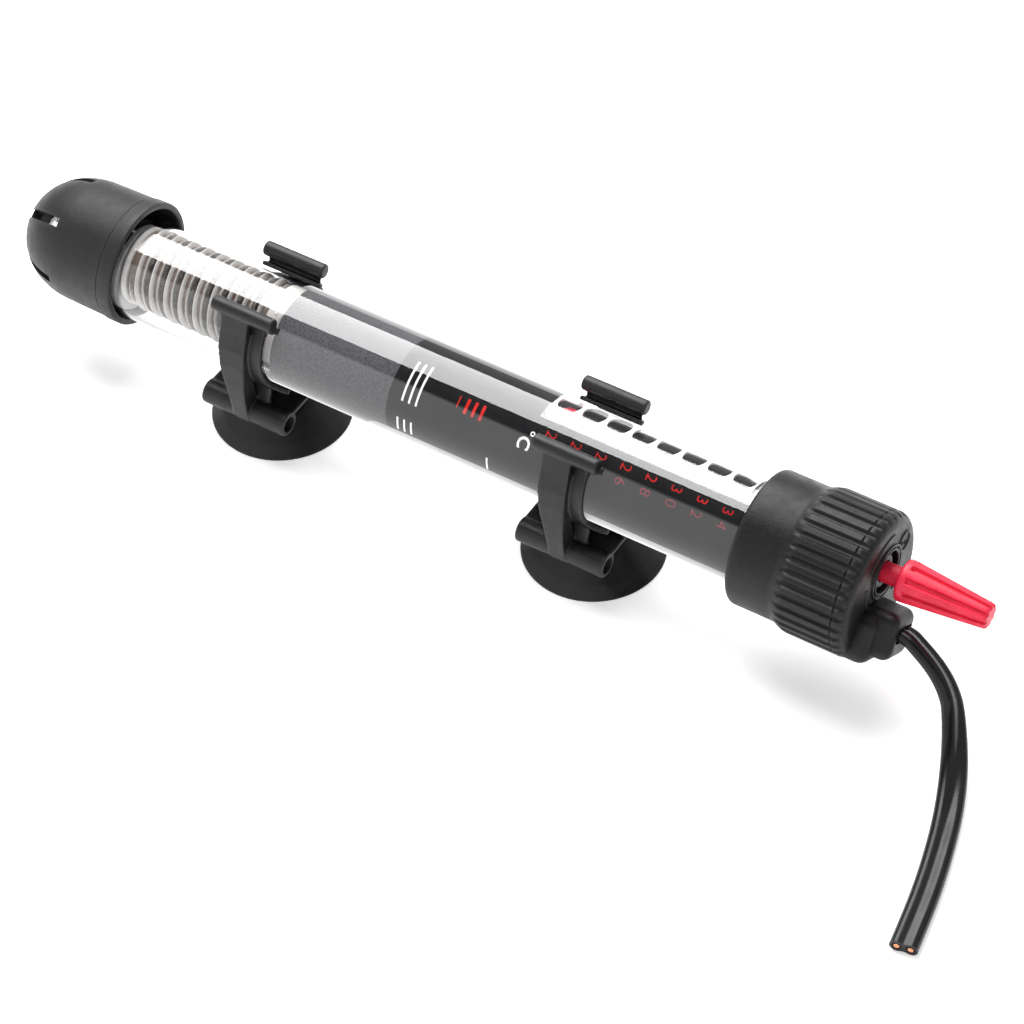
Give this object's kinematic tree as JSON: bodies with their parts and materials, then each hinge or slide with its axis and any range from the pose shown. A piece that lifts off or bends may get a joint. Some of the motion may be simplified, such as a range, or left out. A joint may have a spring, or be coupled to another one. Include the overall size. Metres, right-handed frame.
{
  "type": "submersible aquarium heater",
  "caption": "Glass tube heater with slotted end guard, ribbed rubber head, adjusting knob moving a pointer along a scale strip, flat mains cord and sliding clips with suction cups.",
  "frame": {"origin": "where the tube's axis meets the small flat on the end guard's dome", "axes": "+X along the tube's axis from the end guard to the knob, +Z from the suction cups' lips towards the tube, +Y by the right-hand rule"},
  "size_m": [0.312, 0.094, 0.0514],
  "materials": {
    "glass_tube": "clear",
    "end_guard_cap": "fine matte",
    "grey_liner": "satin",
    "printed_sleeve": "satin, printed",
    "scale_strip": "satin white",
    "ceramic_core": "white ceramic",
    "spacer_helix": "white ceramic",
    "heating_coil": "coiled resistance wire",
    "core_disc_tip": "mica",
    "core_disc_head": "mica",
    "return_wire": "plain wire",
    "terminal_block": "phenolic board",
    "bimetal_strip": "rolled",
    "contact_arm": "rolled",
    "bimetal_contact": "turned",
    "arm_contact": "turned",
    "snap_magnet": "sintered",
    "thermostat_carrier": "moulded",
    "pointer_deck": "moulded",
    "pointer_nut": "moulded red",
    "adjusting_spindle": "twisted bar",
    "indicator_lamp": "neon lamp",
    "lamp_resistor": "lacquered",
    "head_cap": "matte rubber",
    "tube_seal_ring": "rubber ring",
    "spindle_seal_ring": "rubber ring",
    "spindle_bush": "moulded",
    "head_seal_plug": "moulded rubber",
    "adjusting_knob": "moulded red",
    "power_cord": "glossy cord sheath",
    "cord_core_live": "copper strands",
    "cord_core_neutral": "copper strands",
    "crimp_live": "crimp tube",
    "crimp_neutral": "crimp tube",
    "lead_wire_live": "insulated wire",
    "lead_wire_neutral": "insulated wire",
    "lead_wire_element": "insulated wire",
    "clip_bracket_front": "satin moulded",
    "clip_bracket_rear": "satin moulded",
    "suction_cup_front": "soft glossy rubber",
    "suction_cup_rear": "soft glossy rubber"
  },
  "bodies": {
    "heater": {"glass_tube": "glass_tube", "end_guard_cap": "end_guard_cap", "grey_liner": "grey_liner", "printed_sleeve": "printed_sleeve", "scale_strip": "scale_strip", "ceramic_core": "ceramic_core", "spacer_helix": "spacer_helix", "heating_coil": "heating_coil", "core_disc_tip": "core_disc_tip", "core_disc_head": "core_disc_head", "return_wire": "return_wire", "terminal_block": "terminal_block", "contact_arm": "contact_arm", "arm_contact": "arm_contact", "snap_magnet": "snap_magnet", "thermostat_carrier": "thermostat_carrier", "pointer_deck": "pointer_deck", "indicator_lamp": "indicator_lamp", "lamp_resistor": "lamp_resistor", "head_cap": "head_cap", "tube_seal_ring": "tube_seal_ring", "spindle_seal_ring": "spindle_seal_ring", "spindle_bush": "spindle_bush", "head_seal_plug": "head_seal_plug", "power_cord": "power_cord", "cord_core_live": "cord_core_live", "cord_core_neutral": "cord_core_neutral", "crimp_live": "crimp_live", "crimp_neutral": "crimp_neutral", "lead_wire_live": "lead_wire_live", "lead_wire_neutral": "lead_wire_neutral", "lead_wire_element": "lead_wire_element"},
    "adjuster": {"adjusting_knob": "adjusting_knob", "adjusting_spindle": "adjusting_spindle"},
    "pointer": {"pointer_nut": "pointer_nut"},
    "bimetal": {"bimetal_strip": "bimetal_strip", "bimetal_contact": "bimetal_contact"},
    "clip_front": {"clip_bracket_front": "clip_bracket_front"},
    "clip_rear": {"clip_bracket_rear": "clip_bracket_rear"},
    "cup_front": {"suction_cup_front": "suction_cup_front"},
    "cup_rear": {"suction_cup_rear": "suction_cup_rear"}
  },
  "joints": [
    {"name": "knob_turn", "type": "hinge", "parent": "heater", "child": "adjuster", "pos_m": [0.27, 0.00236, 0.00377], "axis": [1, 0, 0], "range_deg": [0, 2160]},
    {"name": "pointer_slide", "type": "slide", "parent": "heater", "child": "pointer", "axis": [1, 0, 0], "range_m": [0, 0.0515]},
    {"name": "bimetal_flex", "type": "hinge", "parent": "heater", "child": "bimetal", "pos_m": [0.12757, -0.00053, -0.00086], "axis": [0, 0.848, -0.5299], "range_deg": [0, 2.5]},
    {"name": "clip_front_slide", "type": "slide", "parent": "heater", "child": "clip_front", "axis": [1, 0, 0], "range_m": [-0.028, 0.029]},
    {"name": "clip_rear_slide", "type": "slide", "parent": "heater", "child": "clip_rear", "axis": [1, 0, 0], "range_m": [-0.029, 0.034]},
    {"name": "cup_front_turn", "type": "hinge", "parent": "clip_front", "child": "cup_front", "pos_m": [0.07863, 0, -0.016], "axis": [0, 0, 1], "continuous": true},
    {"name": "cup_rear_turn", "type": "hinge", "parent": "clip_rear", "child": "cup_rear", "pos_m": [0.17751, 0, -0.016], "axis": [0, 0, 1], "continuous": true}
  ],
  "couplings": [
    {"joint": "pointer_slide", "follows": "knob_turn", "m_per_rad": 0.0013657}
  ]
}
